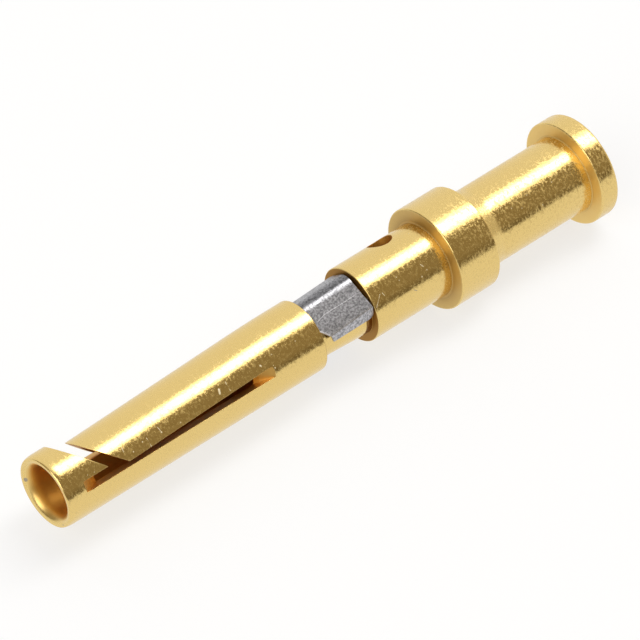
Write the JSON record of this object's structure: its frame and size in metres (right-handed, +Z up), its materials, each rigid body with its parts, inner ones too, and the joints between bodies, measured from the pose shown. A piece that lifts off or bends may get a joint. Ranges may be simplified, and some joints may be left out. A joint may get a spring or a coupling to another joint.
{
  "type": "female connector contact",
  "caption": "Turned gold-plated female crimp contact with a slotted spring socket, locating collar, flanged crimp barrel and a steel retaining clip.",
  "frame": {"origin": "centre of the mating face, on the axis of the pin socket", "axes": "+X along the contact's axis, from the mating face to the wire end; +Z up, with the contact lying on its side and the retaining clip's flat facet turned towards -Y"},
  "size_m": [0.0224, 0.0036, 0.0036],
  "materials": {
    "gold_plate": "satin gold plate over turned copper alloy, with fine turning marks",
    "spring_steel": "dull mottled stainless strip"
  },
  "bodies": {
    "root": {"contact_body": "gold_plate", "retaining_clip": "spring_steel"}
  },
  "joints": []
}
